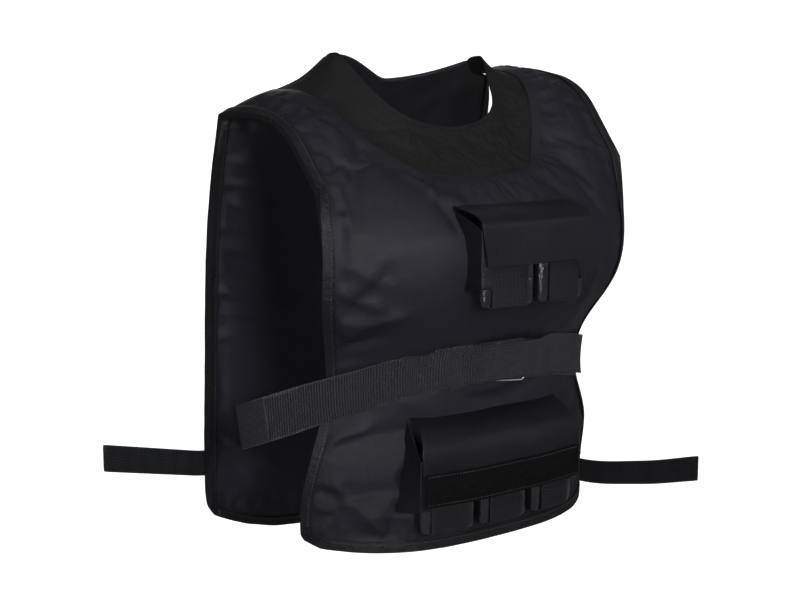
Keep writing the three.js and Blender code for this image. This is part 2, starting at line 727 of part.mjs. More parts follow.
// The straps on the front lie on its skin: a point at a share across, raised along the skin from the
// strap's middle line and lifted off it.
const strapDrop = (share) => strap_level * read(strap_line, "x", "drop", share);
function onFront(share, rise, offset) {
  const x = share * half_width;
  const z = -strapDrop(share);
  const lean = frontAt(x, z + 1).sub(frontAt(x, z - 1)).normalize();
  const level = z + rise * lean.z;
  return frontAt(x, level).addScaledVector(frontNormal(x, level), offset);
}
const ring_margin = 12;
const ring_ramp = 24;
const ring_play = 2.8;
const base_ramp = 16;
const base_lead = 26;
const tape_ramp = 28;
const under_strap = tape_room + tape_thickness + 4 * gap;
const layer = webbing_thickness + gap;
const ring_lift = under_strap + layer + ring_wire / 2 + ring_play;
const ring_room = ring_lift + ring_wire / 2 + keeper_thickness + 3 * gap - under_strap - layer;
const strap_rows_across = 3;
const strapRise = (j) => (j / strap_rows_across - 0.5) * strap_width;
const tape_rise = 3.0;
function strapLift(share) {
  const along = share * half_width;
  const over_base = layer * ease((along - base_start_share * half_width + base_lead) / base_ramp);
  const reach = ring_width / 2 + ring_margin;
  const from_ring = Math.abs(along - ring_centre);
  const from_end = strap_end_share * half_width - Math.abs(along);
  const over_tape = tape_rise * ease(1 - from_end / tape_ramp);
  const over_ring = ring_room * ease((reach + ring_ramp - from_ring) / ring_ramp);
  return under_strap + over_base + over_tape + over_ring;
}

// The strap's far end turns in round the bound edge of the front
const turn_reach = tape_room + tape_thickness + 5 * gap;
function roundEdge(turn, rise, depth) {
  const z = -strapDrop(1) + rise;
  let low = 0;
  let high = 1;
  for (let k = 0; k < 24; k += 1) {
    const up = (low + high) / 2;
    if (frontSkin(1, up).z < z) low = up;
    else high = up;
  }
  const edge = frontSkin(1, low);
  const leave = edge.clone().sub(frontSkin(0.97, low)).setZ(0).normalize();
  const outward = point(leave.y, -leave.x, 0);
  const radius = seam_thickness / 2 + under_strap + layer + tape_rise + depth;
  const middle = edge.addScaledVector(outward, -seam_thickness / 2);
  const angle = Math.min(turn, 1) * Math.PI;
  return middle
    .addScaledVector(outward, Math.cos(angle) * radius)
    .addScaledVector(leave, Math.sin(angle) * (turn_reach + depth) - Math.max(0, turn - 1) * strap_return);
}

// The strap's free end runs straight on from the near edge, bends a little back and sinks
const free_sink = 0.37;
const free_bend = 0.34;
const free_lean = 0.4;
const free_steps = 6;
const body_steps = 26;
const turn_steps = 6;
function freeEnd(back, rise, depth) {
  const end = -strap_end_share;
  const start = onFront(end, 0, strapLift(end) + depth);
  const run = start.clone().sub(onFront(end + 0.03, 0, strapLift(end) + depth)).setZ(0).normalize();
  const lean = onFront(end, 10, under_strap).sub(onFront(end, -10, under_strap)).normalize();
  const step = strap_free_length / free_steps;
  let heading = Math.atan2(run.y, run.x);
  for (let k = 0; k < back; k += 1) {
    heading -= free_bend / free_steps;
    start.add(point(Math.cos(heading) * step, Math.sin(heading) * step, -free_sink * step));
  }
  const tilt = free_sink * free_lean;
  const upright = point(Math.cos(heading) * tilt, Math.sin(heading) * tilt, 1).normalize();
  return start.addScaledVector(lean.lerp(upright, ease(back / 3)).normalize(), rise);
}
function strapPoint(k, rise, depth) {
  if (k < free_steps) return freeEnd(free_steps - k, rise, depth);
  const body = k - free_steps;
  if (body <= body_steps) {
    const share = mix(-strap_end_share, strap_end_share, body / body_steps);
    return onFront(share, rise, strapLift(share) + depth);
  }
  const turn = (body - body_steps - 1) / turn_steps;
  return roundEdge(turn > 1 ? 2 : turn, rise, depth);
}
const strap_columns_along = free_steps + body_steps + turn_steps + 2;
function waistStrap() {
  return slab(
    strap_columns_along, strap_rows_across,
    (k, j) => strapPoint(k, strapRise(j), webbing_thickness), (k, j) => strapPoint(k, strapRise(j), 0),
  );
}
const patch_thickness = 0.8;
const patch_steps = 2;
function tipPatch() {
  const at = (k, j, depth) => strapPoint(k, strapRise(j) * 0.96, webbing_thickness + gap + depth);
  return slab(patch_steps, strap_rows_across, (k, j) => at(k, j, patch_thickness), (k, j) => at(k, j, 0));
}
function strapBase() {
  const steps = 20;
  const at = (k, j, depth) => {
    const share = mix(base_start_share, base_end_share, k / steps);
    return onFront(share, strapRise(j) - base_drop, under_strap - gap + depth);
  };
  return slab(steps, strap_rows_across, (k, j) => at(k, j, webbing_thickness), (k, j) => at(k, j, 0));
}

// A strip of webbing on edge along a path, square to its level normals
function levelNormals(nodes, side) {
  return nodes.map((_, k) => {
    const a = nodes[Math.max(0, k - 1)];
    const b = nodes[Math.min(nodes.length - 1, k + 1)];
    return point(b.y - a.y, a.x - b.x, 0).normalize().multiplyScalar(side);
  });
}
function ribbonAlong(nodes, side, width, thickness) {
  const normals = levelNormals(nodes, side);
  const at = (k, j, depth) => nodes[k].clone()
    .add(point(0, 0, (j / 2 - 0.5) * width))
    .addScaledVector(normals[k], depth);
  return slab(nodes.length - 1, 2, (k, j) => at(k, j, thickness), (k, j) => at(k, j, 0));
}

// The wire ring: a rounded rectangle of round wire, flat against the strap's base layer
function ringLoop() {
  const centre = [];
  const w = ring_width / 2 - ring_corner;
  const h = ring_height / 2 - ring_corner;
  const corner_steps = 3;
  const corners = [[w, h, 0], [-w, h, 1], [-w, -h, 2], [w, -h, 3]];
  for (const [cx, cz, quarter] of corners) {
    for (let k = 0; k <= corner_steps; k += 1) {
      const angle = (quarter + k / corner_steps) * (Math.PI / 2);
      centre.push(new THREE.Vector2(cx + Math.cos(angle) * ring_corner, cz + Math.sin(angle) * ring_corner));
    }
  }
  const sides = 8;
  const positions = [];
  const index = [];
  const count = centre.length;
  centre.forEach((p, k) => {
    const a = centre[(k + count - 1) % count];
    const b = centre[(k + 1) % count];
    const out = new THREE.Vector2(b.y - a.y, a.x - b.x).normalize();
    for (let s = 0; s < sides; s += 1) {
      const angle = (s / sides) * Math.PI * 2;
      const r = ring_wire / 2;
      const level = Math.cos(angle) * r;
      positions.push(p.x + out.x * level, Math.sin(angle) * r, p.y + out.y * level);
      const next = (s + 1) % sides;
      const k2 = (k + 1) % count;
      index.push(k * sides + s, k2 * sides + s, k2 * sides + next);
      index.push(k * sides + s, k2 * sides + next, k * sides + next);
    }
  });
  return facingOut(positions, index);
}

// The ring hangs flat on the base layer, and a short band holds its upper bar
const ring_showing = 3;
const ring_drop = strapDrop(ring_centre / half_width) + (strap_width - ring_height) / 2 + ring_showing;
function ringSeat() {
  const normal = frontNormal(ring_centre, -ring_drop);
  const place = frontAt(ring_centre, -ring_drop).addScaledVector(normal, ring_lift);
  return { place, lean: Math.atan2(-normal.z, -normal.y) };
}
const ring_seat = ringSeat();
const keeper_crest = 4.4;
const keeper_slope = 2.6;
const keeper_seat = 0.5;
function ringKeeper() {
  const columns = 10;
  const bar = ring_height / 2;
  const at = (i, j, depth) => {
    const t = (i / columns - 0.5) * keeper_height;
    const over = ease((keeper_crest - Math.abs(t)) / keeper_slope);
    const low = ring_wire / 2 + keeper_seat;
    return point((j - 0.5) * keeper_width, mix(low, -ring_wire / 2 - gap, over) - depth, bar + t);
  };
  return slab(columns, 1, (i, j) => at(i, j, keeper_thickness), (i, j) => at(i, j, 0));
}

// Side straps, from the outside of the back panel's edge
function sideStrapNodes(side, seat, heading, drop, length, steps) {
  const level = side_strap_level / back_drop;
  const nodes = [];
  for (let k = 0; k <= 2; k += 1) {
    const c = mix(1 - side_strap_grip / half_width, 1, k / 2) * side;
    const p = backSkin(c, level);
    nodes.push(point(p.x, p.y + under_strap + seat, -side_strap_level));
  }
  for (let k = 1; k <= steps; k += 1) {
    const angle = heading((k - 0.5) / steps);
    const step = length / steps;
    const run = point(Math.cos(angle) * step * side, Math.sin(angle) * step, 0);
    nodes.push(nodes.at(-1).clone().add(run));
  }
  nodes.forEach((p, k) => p.setZ(p.z + drop(Math.max(0, k - 2) / steps)));
  return nodes;
}
function rightStrap() {
  const rise = (t) => right_strap_start + right_strap_rise * t;
  const heading = () => right_strap_heading;
  const nodes = sideStrapNodes(-1, right_strap_seat, heading, rise, right_strap_length, 6);
  return ribbonAlong(nodes, 1, side_strap_width, webbing_thickness);
}
function leftStrap() {
  const line = (column) => (t) => read(left_strap_line, "along", column, t);
  const drop = (t) => -left_strap_hang * line("hang")(t);
  const nodes = sideStrapNodes(1, left_strap_seat, line("heading"), drop, left_strap_length, 16);
  return ribbonAlong(nodes, -1, side_strap_width, webbing_thickness);
}

// Finishes
function finish(color, roughness, metalness = 0) {
  return new THREE.MeshStandardMaterial({ color, roughness, metalness });
}
const nylon = () => finish(0x15161c, 0.75);
const webbing = () => finish(0x1c1d20, 0.8);
const vinyl = () => finish(0x101114, 0.3);
const jersey = () => finish(0x1a1516, 0.9);
const steel = () => finish(0xc8c9cc, 0.25, 1);

const vest = new THREE.Group();
function add(name, geometry, material, place = [0, 0, 0], turn = [0, 0, 0]) {
  const mesh = new THREE.Mesh(geometry, material);
  mesh.name = name;
  mesh.position.set(...place);
  mesh.rotation.set(...turn);
  vest.add(mesh);
}

add("front_panel", slab(front.columns, front.rows, front.outer, front.inner, front.holds), nylon());
add("back_panel", slab(back.columns, back.rows, back.outer, back.inner), nylon());
add("front_binding", foldedTape(front, edgePath(front_columns, front_rows)), webbing());
add("back_binding", foldedTape(back, edgePath(back_columns, back_rows)), webbing());
add("neck_insert", slab(insert.columns, insert.rows, insert.outer, insert.inner), jersey());
add("neck_rim", rimStrip(), jersey());

function addPocket(name, pocket) {
  add(`${name}_pouch`, pouch(pocket), nylon());
  add(`${name}_flap`, flap(pocket), nylon());
  pocket.places.forEach(({ x, y, z, turn }, k) => {
    add(`${name}_weight_${k + 1}`, weightBar(), vinyl(), [x, y, z], [0, 0, turn]);
    add(`${name}_sling_${k + 1}`, sling(), webbing(), [x, y, z], [0, 0, turn]);
  });
}
addPocket("chest", chest_pocket);
addPocket("lower", lower_pocket);
add("lower_hook_strip", hookStrip(lower_pocket), webbing());

add("waist_strap", waistStrap(), webbing());
add("strap_tip_patch", tipPatch(), webbing());
add("strap_base", strapBase(), webbing());
const ring_place = ring_seat.place.toArray();
const ring_turn = [ring_seat.lean, ring_tilt, 0];
add("strap_ring", ringLoop(), steel(), ring_place, ring_turn);
add("ring_keeper", ringKeeper(), webbing(), ring_place, ring_turn);
add("side_strap_right", rightStrap(), webbing());
add("side_strap_left", leftStrap(), webbing());

export default vest;
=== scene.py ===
"""Looks of a weighted vest: padded cloth, webbing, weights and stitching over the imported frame."""

import math

import bmesh
import bpy
import numpy as np
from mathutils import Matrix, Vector, noise
from mathutils.bvhtree import BVHTree
from mathutils.kdtree import KDTree


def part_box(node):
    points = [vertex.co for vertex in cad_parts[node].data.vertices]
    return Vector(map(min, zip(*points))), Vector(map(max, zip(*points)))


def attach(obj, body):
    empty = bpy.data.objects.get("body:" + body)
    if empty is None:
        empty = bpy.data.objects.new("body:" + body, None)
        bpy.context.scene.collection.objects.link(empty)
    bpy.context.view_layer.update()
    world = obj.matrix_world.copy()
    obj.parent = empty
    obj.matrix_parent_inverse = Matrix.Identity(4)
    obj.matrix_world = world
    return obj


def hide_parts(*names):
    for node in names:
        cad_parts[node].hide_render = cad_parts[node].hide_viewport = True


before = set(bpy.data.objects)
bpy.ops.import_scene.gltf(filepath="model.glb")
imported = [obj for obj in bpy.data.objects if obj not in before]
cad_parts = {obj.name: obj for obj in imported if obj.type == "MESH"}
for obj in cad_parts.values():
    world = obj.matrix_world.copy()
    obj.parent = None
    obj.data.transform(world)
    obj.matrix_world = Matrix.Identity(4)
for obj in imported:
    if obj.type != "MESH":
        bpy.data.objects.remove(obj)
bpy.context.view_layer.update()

# Sizes in metres
MERGE = 1e-5
TAPE_WIDTH = 0.011
TAPE_STITCH = 0.0075
TAPE_LIFT = 0.0055
STITCH_LENGTH = 0.0028
STITCH_PITCH = 0.0042
THREAD = 0.00038
STITCH_SNAP = 0.006
SHARP = math.radians(42)
CLEAR = 0.0006
WALL_TURN = math.radians(32)
TURN = math.radians(148)
WALL_WIDTH = 0.008
SEAM_TURN = math.radians(50)
FLAT_TURN = math.radians(35)
PAD_SHARP = math.radians(60)

# Filling of the padded panels
PRESSURE_FRAMES = 20
PRESSURE = 3.0
FILL_SPREAD = 0.025
FILL_MOST = 0.006
PIN_FADE = 0.022
SEAM_FADE = 0.012
PUCKER_LINE = 0.02
FOLD_RISE = 1.35
PUSH_MOST = 0.006

CAMERA_EYE = (-1.0402, -1.3804, -0.0112)
CAMERA_AIM = (0.0, 0.0, -0.285)
CAMERA_LENS = 60.75
CAMERA_SENSOR = 36.0
CAMERA_SHIFT = -0.02
FLOOR_LEVEL = -0.72
PAPER_GLOW = 1.1
WORLD_GLOW = 0.11


# Small helpers


def linked(obj):
    bpy.context.scene.collection.objects.link(obj)
    return obj


def mesh_object(name, mesh):
    return linked(bpy.data.objects.new(name, mesh))


def coords(mesh):
    out = np.empty(len(mesh.vertices) * 3)
    mesh.vertices.foreach_get("co", out)
    return out.reshape(-1, 3)


def normals(mesh):
    out = np.empty(len(mesh.vertices) * 3, dtype=np.float32)
    mesh.vertex_normals.foreach_get("vector", out)
    return out.reshape(-1, 3).astype(float)


def put(mesh, points):
    mesh.vertices.foreach_set("co", np.ascontiguousarray(points).ravel())
    mesh.update()


def ease(t):
    t = np.clip(t, 0, 1)
    return t * t * (3 - 2 * t)


def quad_cage(node):
    """The node's facets as a cage of four-sided faces."""
    bm = bmesh.new()
    bm.from_mesh(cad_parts[node].data)
    bmesh.ops.remove_doubles(bm, verts=bm.verts[:], dist=MERGE)
    bmesh.ops.join_triangles(
        bm,
        faces=bm.faces[:],
        angle_face_threshold=FLAT_TURN,
        angle_shape_threshold=math.radians(170),
    )
    bmesh.ops.recalc_face_normals(bm, faces=bm.faces[:])
    return bm


def crease(bm, amount, angle=SHARP):
    layer = bm.edges.layers.float.get("crease_edge") or bm.edges.layers.float.new("crease_edge")
    for edge in bm.edges:
        if len(edge.link_faces) == 2 and edge.calc_face_angle(0) > angle:
            edge[layer] = amount
    corner = bm.verts.layers.float.get("crease_vert") or bm.verts.layers.float.new("crease_vert")
    for vert in bm.verts:
        ends = [e.other_vert(vert).co - vert.co for e in vert.link_edges if e[layer] > 0]
        if len(ends) == 2 and ends[0].angle(ends[1]) < TURN:
            vert[corner] = amount


def baked(obj):
    """The object's mesh with its modifiers worked in, and the modifiers gone."""
    graph = bpy.context.evaluated_depsgraph_get()
    mesh = bpy.data.meshes.new_from_object(obj.evaluated_get(graph))
    obj.modifiers.clear()
    old, obj.data = obj.data, mesh
    bpy.data.meshes.remove(old)
    return obj


def smooth_shade(obj, angle=SHARP):
    mesh = obj.data
    mesh.shade_smooth()
    mesh.set_sharp_from_angle(angle=angle)
    return obj


def finer(obj, levels):
    soft = obj.modifiers.new("rounding", "SUBSURF")
    soft.levels = levels
    soft.render_levels = levels
    return baked(obj)


def rounded(node, name, levels=2, edge=0.85, angle=SHARP):
    """A finer copy of a node: its cage subdivided, with edges as crisp as cut cloth."""
    bm = quad_cage(node)
    crease(bm, edge, angle)
    mesh = bpy.data.meshes.new(name)
    bm.to_mesh(mesh)
    bm.free()
    return smooth_shade(finer(mesh_object(name, mesh), levels))


def dress(obj, node, material):
    """The piece takes the node's place, its finish and its body."""
    obj.data.materials.clear()
    obj.data.materials.append(material)
    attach(obj, "root")
    if node:
        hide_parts(node)
    return obj


# Materials


class Nodes:
    """Short names for building one node tree."""

    def __init__(self, tree):
        self.tree = tree

    def add(self, kind, **values):
        node = self.tree.nodes.new(kind)
        for key, value in values.items():
            setattr(node, key, value)
        return node

    def feed(self, socket, value):
        if hasattr(value, "is_output"):
            self.tree.links.new(value, socket)
        else:
            socket.default_value = value

    def math(self, operation, a, b=0.0, c=None):
        node = self.add("ShaderNodeMath", operation=operation)
        self.feed(node.inputs[0], a)
        self.feed(node.inputs[1], b)
        if c is not None:
            self.feed(node.inputs[2], c)
        return node.outputs[0]

    def mapped(self, value, low, high, start, end):
        node = self.add("ShaderNodeMapRange")
        for socket, number in zip(node.inputs, (value, low, high, start, end)):
            self.feed(socket, number)
        return node.outputs[0]

    def noise(self, vector, scale, detail=3.0, roughness=0.5):
        node = self.add("ShaderNodeTexNoise")
        self.feed(node.inputs["Vector"], vector)
        self.feed(node.inputs["Scale"], scale)
        node.inputs["Detail"].default_value = detail
        node.inputs["Roughness"].default_value = roughness
        return node.outputs[0]

    def mix(self, share, first, second):
        node = self.add("ShaderNodeMix", data_type="RGBA")
        self.feed(node.inputs[0], share)
        self.feed(node.inputs[6], first)
        self.feed(node.inputs[7], second)
        return node.outputs[2]

    def split(self, vector):
        node = self.add("ShaderNodeSeparateXYZ")
        self.feed(node.inputs[0], vector)
        return node.outputs


def effect(name, inputs, outputs):
    """An empty shader group with named sockets, and its tree."""
    tree = bpy.data.node_groups.new(name, "ShaderNodeTree")
    for label, kind, value in inputs:
        socket = tree.interface.new_socket(name=label, in_out="INPUT", socket_type=kind)
        if value is not None:
            socket.default_value = value
    for label, kind in outputs:
        tree.interface.new_socket(name=label, in_out="OUTPUT", socket_type=kind)
    n = Nodes(tree)
    return n, n.add("NodeGroupInput").outputs, n.add("NodeGroupOutput").inputs


NUMBER = "NodeSocketFloat"
VECTOR = "NodeSocketVector"


def make_weave():
    """Plain weave seen square on from each side: threads over and under each other."""
    n, given, out = effect(
        "plain weave",
        [("Place", VECTOR, None), ("Normal", VECTOR, None), ("Threads per metre", NUMBER, 900.0)],
        [("Height", NUMBER)],
    )
    x, y, z = n.split(given["Place"])
    turn = n.math("MULTIPLY", given["Threads per metre"], math.pi)
    waves = [n.math("SINE", n.math("MULTIPLY", axis, turn)) for axis in (x, y, z)]
    facing = n.split(given["Normal"])
    pairs = [(1, 2, 0), (0, 2, 1), (0, 1, 2)]
    total = None
    for first, second, axis in pairs:
        cross = n.math("MULTIPLY", waves[first], waves[second])
        part = n.math("MULTIPLY", cross, n.math("POWER", n.math("ABSOLUTE", facing[axis]), 3.0))
        total = part if total is None else n.math("ADD", total, part)
    n.feed(out["Height"], n.mapped(total, -1.0, 1.0, 0.0, 1.0))
    return n.tree


def make_ribs():
    """Webbing: close ribs across it, broken up by the fine threads that run along it."""
    n, given, out = effect(
        "webbing ribs",
        [
            ("Lay", VECTOR, None),
            ("Ribs per metre", NUMBER, 420.0),
            ("Threads per metre", NUMBER, 900.0),
            ("Half width", NUMBER, 0.025),
        ],
        [("Height", NUMBER), ("Edge", NUMBER)],
    )
    along, over, _ = n.split(given["Lay"])
    full = math.pi * 2
    slant = n.math("ADD", along, n.math("MULTIPLY", over, 0.06))
    rib = n.math("SINE", n.math("MULTIPLY", slant, n.math("MULTIPLY", given["Ribs per metre"], full)))
    warp = n.math("SINE", n.math("MULTIPLY", over, n.math("MULTIPLY", given["Threads per metre"], full)))
    n.feed(out["Height"], n.mapped(n.math("ADD", rib, n.math("MULTIPLY", warp, 0.6)), -1.6, 1.6, 0.0, 1.0))
    inset = n.math("SUBTRACT", given["Half width"], n.math("ABSOLUTE", over))
    n.feed(out["Edge"], n.mapped(inset, 0.0, 0.0028, 1.0, 0.0))
    return n.tree


def make_wear():
    """Slow drift in the dye, fine flecks of lint and rubbed patches."""
    n, given, out = effect(
        "wear and lint",
        [("Place", VECTOR, None), ("Patch scale", NUMBER, 9.0), ("Fleck scale", NUMBER, 700.0)],
        [("Patches", NUMBER), ("Flecks", NUMBER), ("Grain", NUMBER), ("Mottle", NUMBER)],
    )
    n.feed(out["Patches"], n.mapped(n.noise(given["Place"], given["Patch scale"], 4.0), 0.35, 0.68, 0.0, 1.0))
    n.feed(out["Flecks"], n.mapped(n.noise(given["Place"], given["Fleck scale"], 1.0), 0.72, 0.8, 0.0, 1.0))
    n.feed(out["Grain"], n.noise(given["Place"], n.math("MULTIPLY", given["Fleck scale"], 2.2), 2.0))
    n.feed(out["Mottle"], n.noise(given["Place"], n.math("MULTIPLY", given["Fleck scale"], 0.55), 2.0, 0.6))
    return n.tree


def make_creases():
    """Small crumples of thin cloth."""
    n, given, out = effect(
        "small crumples", [("Place", VECTOR, None), ("Scale", NUMBER, 30.0)], [("Height", NUMBER)]
    )
    field = n.noise(given["Place"], given["Scale"], 3.0, 0.45)
    ridge = n.math("ABSOLUTE", n.math("SUBTRACT", field, 0.5))
    n.feed(out["Height"], n.mapped(ridge, 0.0, 0.16, 0.0, 1.0))
    return n.tree


weave_group = make_weave()
ribs_group = make_ribs()
wear_group = make_wear()
crumple_group = make_creases()


def material(name, color, roughness, sheen=0.0, specular=0.3, metallic=0.0, coat=0.0):
    made = bpy.data.materials.new(name)
    made.use_nodes = True
    n = Nodes(made.node_tree)
    shader = made.node_tree.nodes["Principled BSDF"]
    shader.inputs["Roughness"].default_value = roughness
    shader.inputs["Metallic"].default_value = metallic
    shader.inputs["Specular IOR Level"].default_value = specular
    shader.inputs["Base Color"].default_value = (*color, 1)
    shader.inputs["Coat Weight"].default_value = coat
    shader.inputs["Coat Roughness"].default_value = 0.25
    if sheen:
        shader.inputs["Sheen Weight"].default_value = sheen
        shader.inputs["Sheen Roughness"].default_value = 0.45
        shader.inputs["Sheen Tint"].default_value = (0.75, 0.8, 1.0, 1)
    return made, n, shader


def use(n, group, **inputs):
    node = n.add("ShaderNodeGroup", node_tree=group)
    for label, value in inputs.items():
        n.feed(node.inputs[label.replace("_", " ")], value)
    return node.outputs


def bump(n, shader, *layers):
    """Bumps from coarse to fine: each layer is a height and how deep it is, in metres."""
    previous = None
    for height, depth in layers:
        node = n.add("ShaderNodeBump")
        node.inputs["Distance"].default_value = depth
        node.inputs["Strength"].default_value = 1.0
        n.feed(node.inputs["Height"], height)
        if previous is not None:
            n.feed(node.inputs["Normal"], previous)
        previous = node.outputs[0]
    n.feed(shader.inputs["Normal"], previous)


def cloth_material(name, dark, light, roughness, threads, sheen=0.0, crumple=24.0, depth=0.0007):
    made, n, shader = material(name, dark, roughness, sheen=sheen)
    place = n.add("ShaderNodeTexCoord").outputs["Object"]
    facing = n.add("ShaderNodeNewGeometry").outputs["Normal"]
    weave = use(n, weave_group, Place=place, Normal=facing, Threads_per_metre=threads)["Height"]
    wear = use(n, wear_group, Place=place)
    crumples = use(n, crumple_group, Place=place, Scale=crumple)["Height"]
    drift = n.mix(wear["Patches"], (*dark, 1), (*light, 1))
    mottle = n.mapped(wear["Mottle"], 0.35, 0.65, -0.2, 0.35)
    threads_tint = n.math("ADD", n.math("MULTIPLY", weave, 0.25), mottle)
    tinted = n.mix(threads_tint, drift, (*[c * 1.9 for c in light], 1))
    lint = n.math("MULTIPLY", wear["Flecks"], 0.22)
    n.feed(shader.inputs["Base Color"], n.mix(lint, tinted, (0.11, 0.11, 0.12, 1)))
    n.feed(shader.inputs["Roughness"], n.mapped(wear["Mottle"], 0.3, 0.7, roughness - 0.09, roughness + 0.09))
    bump(n, shader, (crumples, depth), (wear["Mottle"], 0.00035), (weave, 0.00012))
    return made


def webbing_material(name, dark, light, roughness, ribs, warps, half, depth=0.0006):
    made, n, shader = material(name, dark, roughness, sheen=0.03, specular=0.3)
    lay = n.add("ShaderNodeUVMap").outputs[0]
    place = n.add("ShaderNodeTexCoord").outputs["Object"]
    made_ribs = use(n, ribs_group, Lay=lay, Ribs_per_metre=ribs, Threads_per_metre=warps, Half_width=half)
    wear = use(n, wear_group, Place=place, Patch_scale=26.0)
    base = n.mix(n.math("MULTIPLY", made_ribs["Height"], 0.75), (*dark, 1), (*light, 1))
    # Both edges of the strip are mixed toward a lighter colour over their last few millimetres.
    edge_lightened = n.mix(n.math("MULTIPLY", made_ribs["Edge"], 0.35), base, (*[c * 2.2 for c in light], 1))
    lint = n.math("MULTIPLY", wear["Flecks"], 0.35)
    n.feed(shader.inputs["Base Color"], n.mix(lint, edge_lightened, (0.12, 0.12, 0.125, 1)))
    rubbing = n.mapped(wear["Patches"], 0.0, 1.0, roughness - 0.07, roughness + 0.05)
    n.feed(shader.inputs["Roughness"], rubbing)
    bump(n, shader, (made_ribs["Height"], depth))
    return made


shell_cloth = cloth_material(
    "shell cloth",
    (0.0088, 0.0085, 0.0126),
    (0.0138, 0.0134, 0.019),
    0.6, 900.0, depth=0.0004,
)
flap_cloth = cloth_material(
    "pocket cloth",
    (0.005, 0.0048, 0.0072),
    (0.0078, 0.0075, 0.0108),
    0.42, 900.0, crumple=20.0, depth=0.0005,
)
binding_tape = cloth_material(
    "binding tape",
    (0.0042, 0.0043, 0.005),
    (0.0092, 0.0094, 0.0112),
    0.55, 620.0, crumple=95.0, depth=0.0005,
)
wide_webbing = webbing_material(
    "wide webbing",
    (0.0008, 0.0008, 0.0012),
    (0.075, 0.075, 0.087),
    0.5, 310.0, 360.0, 0.027, depth=0.0016,
)
side_webbing = webbing_material(
    "side webbing",
    (0.003, 0.0032, 0.004),
    (0.032, 0.033, 0.038),
    0.52, 400.0, 520.0, 0.017, depth=0.0008,
)
sling_webbing = webbing_material(
    "sling webbing",
    (0.002, 0.0021, 0.0027),
    (0.021, 0.0215, 0.026),
    0.56, 420.0, 520.0, 0.025, depth=0.0009,
)
tip_cloth = cloth_material(
    "strap tip cloth",
    (0.015, 0.015, 0.0165),
    (0.025, 0.025, 0.0275),
    0.36, 700.0, crumple=22.0, depth=0.0005,
)
jersey = cloth_material(
    "neck jersey",
    (0.0046, 0.0041, 0.0047),
    (0.0085, 0.0075, 0.0082),
    0.8, 520.0, crumple=30.0, depth=0.0014,
)


def make_hook_tape():
    made, n, shader = material("hook tape", (0.006, 0.006, 0.007), 0.75, specular=0.12)
    place = n.add("ShaderNodeTexCoord").outputs["Object"]
    hooks = n.add("ShaderNodeTexVoronoi", feature="F1")
    n.feed(hooks.inputs["Vector"], place)
    hooks.inputs["Scale"].default_value = 620.0
    spread = n.mapped(hooks.outputs["Distance"], 0.0, 0.7, 1.0, 0.0)
    wear = use(n, wear_group, Place=place, Fleck_scale=420.0)
    base = n.mix(spread, (0.0022, 0.0022, 0.0025, 1), (0.0085, 0.0085, 0.0095, 1))
    lint = n.math("MULTIPLY", wear["Flecks"], 0.3)
    n.feed(shader.inputs["Base Color"], n.mix(lint, base, (0.07, 0.07, 0.074, 1)))
    n.feed(shader.inputs["Roughness"], n.mapped(wear["Patches"], 0.0, 1.0, 0.62, 0.8))
    bump(n, shader, (spread, 0.0008))
    return made


def make_weight_skin():
    made, n, shader = material("weight skin", (0.009, 0.0095, 0.011), 0.16, specular=0.6, coat=0.6)
    place = n.add("ShaderNodeTexCoord").outputs["Object"]
    wear = use(n, wear_group, Place=place, Patch_scale=30.0)
    crumples = use(n, crumple_group, Place=place, Scale=42.0)["Height"]
    tone = n.mix(wear["Patches"], (0.008, 0.0085, 0.01, 1), (0.015, 0.016, 0.019, 1))
    n.feed(shader.inputs["Base Color"], tone)
    n.feed(shader.inputs["Roughness"], n.mapped(wear["Patches"], 0.0, 1.0, 0.12, 0.22))
    bump(n, shader, (crumples, 0.0007), (wear["Grain"], 0.00005))
    return made


def make_ring_steel():
    made, n, shader = material("ring steel", (0.62, 0.63, 0.65), 0.2, metallic=1.0)
    place = n.add("ShaderNodeTexCoord").outputs["Object"]
    wear = use(n, wear_group, Place=place, Patch_scale=90.0, Fleck_scale=1600.0)
    n.feed(shader.inputs["Base Color"], n.mix(wear["Patches"], (0.55, 0.56, 0.58, 1), (0.74, 0.75, 0.77, 1)))
    n.feed(shader.inputs["Roughness"], n.mapped(wear["Grain"], 0.3, 0.7, 0.14, 0.3))
    bump(n, shader, (wear["Grain"], 0.00004))
    return made


def make_thread():
    made, n, shader = material("thread", (0.05, 0.052, 0.06), 0.5, sheen=0.2)
    place = n.add("ShaderNodeTexCoord").outputs["Object"]
    wear = use(n, wear_group, Place=place, Patch_scale=60.0)
    tone = n.mix(wear["Patches"], (0.035, 0.037, 0.043, 1), (0.075, 0.078, 0.09, 1))
    n.feed(shader.inputs["Base Color"], tone)
    n.feed(shader.inputs["Roughness"], n.mapped(wear["Grain"], 0.3, 0.7, 0.42, 0.6))
    bump(n, shader, (wear["Grain"], 0.00008))
    return made


hook_tape = make_hook_tape()
weight_skin = make_weight_skin()
ring_steel = make_ring_steel()
thread = make_thread()


# The outline of a padded panel, from the narrow wall round its edge


def wall_chains(node):
    """The narrow wall round a panel's edge, as chains of (centre, way in, facing) from face to face."""
    bm = quad_cage(node)
    walls = {f for f in bm.faces if sum(e.calc_face_angle(0) > WALL_TURN for e in f.edges) >= 2}
    walls = {f for f in walls if min(e.calc_length() for e in f.edges) < WALL_WIDTH}

    def beside(face):
        crossing = [e for e in face.edges if e.calc_length() < WALL_WIDTH]
        return [g for e in crossing for g in e.link_faces if g is not face and g in left]

    left, chains = set(walls), []
    while left:
        face, chain = min(left, key=lambda f: (len(beside(f)), f.index)), []
        while face is not None:
            left.discard(face)
            skins = [g.normal for e in face.edges for g in e.link_faces if g not in walls]
            up = (skins[0] - skins[-1]).normalized() if len(skins) > 1 else Vector((0, 0, 1))
            if chain and up.dot(chain[-1][2]) < 0:
                up = -up
            chain.append((face.calc_center_median(), -face.normal.copy(), up))
            face = next(iter(beside(face)), None)
        if len(chain) > 3:
            chains.append(chain)
    bm.free()
    return chains


